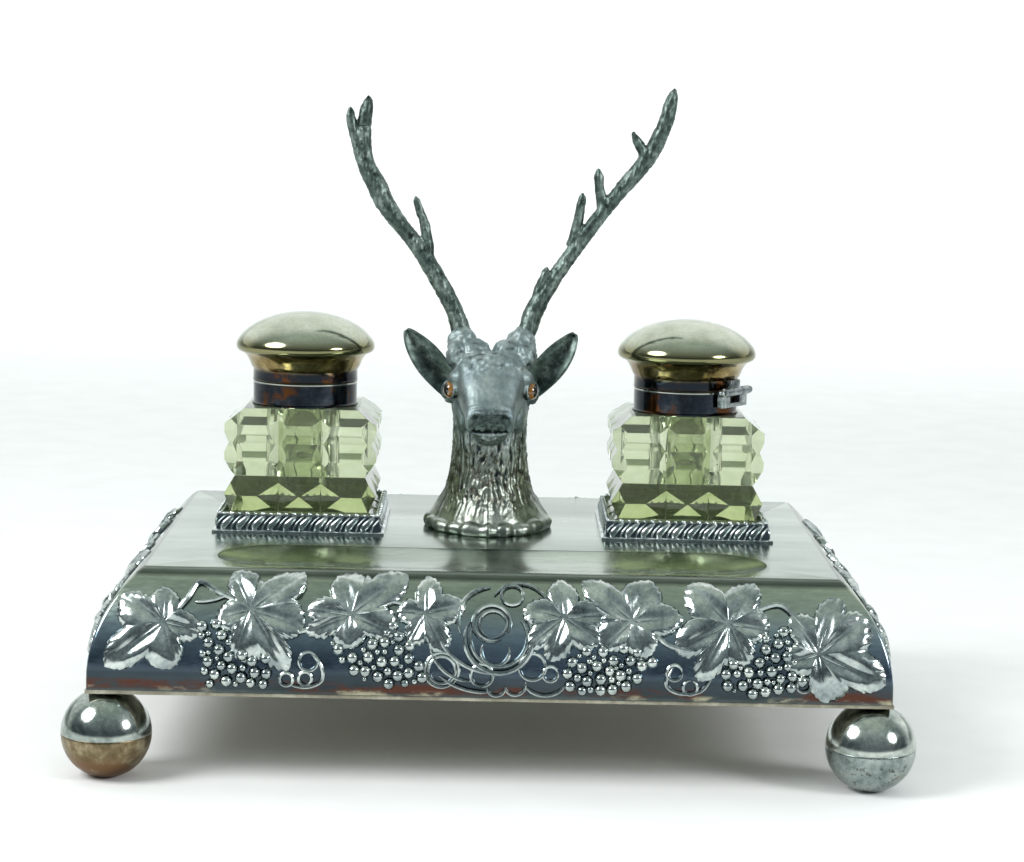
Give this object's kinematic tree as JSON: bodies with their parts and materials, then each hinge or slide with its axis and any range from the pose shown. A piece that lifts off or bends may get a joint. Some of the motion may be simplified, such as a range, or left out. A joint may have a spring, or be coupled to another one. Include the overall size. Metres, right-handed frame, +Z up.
{
  "type": "inkwell",
  "caption": "Desk inkstand: oblong platform on ball feet with a pen tray, lidded square cut-glass ink bottles in low galleries, and a stag's-head bust between them.",
  "frame": {"origin": "on the ground under the middle of the stand", "axes": "+X along the stand's length to the right as seen from the pen tray, +Y to the back, +Z up"},
  "size_m": [0.285, 0.2124, 0.2304],
  "materials": {
    "silver_plate": "worn silver plate, soft satin with tarnish",
    "border_plate": "worn silver plate with oxidised recesses and copper showing low down",
    "base_plate": "dull plated sheet brass",
    "foot_plate": "silver plate worn through to brass on the lower half",
    "brass_fittings": "aged brass, plate mostly gone",
    "cut_glass": "polished cut glass with a pale green tint",
    "cement": "dry white plaster cement",
    "eye_glass": "amber glass with a black pupil"
  },
  "bodies": {
    "stand": {"platform_shell": "silver_plate", "stag_head": "silver_plate", "ear_left": "silver_plate", "ear_right": "silver_plate", "antler_left": "silver_plate", "antler_right": "silver_plate", "gallery_left": "silver_plate", "gallery_right": "silver_plate", "vine_border_front": "border_plate", "vine_border_rear": "border_plate", "vine_border_left": "border_plate", "vine_border_right": "border_plate", "base_plate": "base_plate", "foot_front_left_lower": "foot_plate", "foot_front_left_upper": "foot_plate", "foot_front_right_lower": "foot_plate", "foot_front_right_upper": "foot_plate", "foot_rear_left_lower": "foot_plate", "foot_rear_left_upper": "foot_plate", "foot_rear_right_lower": "foot_plate", "foot_rear_right_upper": "foot_plate", "foot_studs": "brass_fittings", "foot_nuts": "brass_fittings", "foot_washers": "brass_fittings", "head_stud": "brass_fittings", "head_nut": "brass_fittings", "head_washer": "brass_fittings", "eye_left": "eye_glass", "eye_right": "eye_glass"},
    "inkwell_left": {"bottle_left": "cut_glass", "collar_left": "brass_fittings", "collar_cement_left": "cement", "collar_leaf_left": "brass_fittings", "hinge_pin_left": "brass_fittings"},
    "lid_left": {"lid_skirt_left": "silver_plate", "lid_dome_left": "silver_plate", "lid_liner_left": "brass_fittings", "lid_leaf_left": "brass_fittings"},
    "inkwell_right": {"bottle_right": "cut_glass", "collar_right": "brass_fittings", "collar_cement_right": "cement", "collar_leaf_right": "brass_fittings", "hinge_pin_right": "brass_fittings"},
    "lid_right": {"lid_skirt_right": "silver_plate", "lid_dome_right": "silver_plate", "lid_liner_right": "brass_fittings", "lid_leaf_right": "brass_fittings"}
  },
  "joints": [
    {"name": "inkwell_left_lift", "type": "slide", "parent": "stand", "child": "inkwell_left", "axis": [0, 0, 1], "range_m": [0, 0.04]},
    {"name": "inkwell_right_lift", "type": "slide", "parent": "stand", "child": "inkwell_right", "axis": [0, 0, 1], "range_m": [0, 0.04]},
    {"name": "lid_left_hinge", "type": "hinge", "parent": "inkwell_left", "child": "lid_left", "pos_m": [-0.07, 0.03725, 0.12205], "axis": [-1, 0, 0], "range_deg": [0, 100]},
    {"name": "lid_right_hinge", "type": "hinge", "parent": "inkwell_right", "child": "lid_right", "pos_m": [0.08724, 0.00413, 0.12205], "axis": [0.5736, 0.8192, 0], "range_deg": [0, 100]}
  ]
}
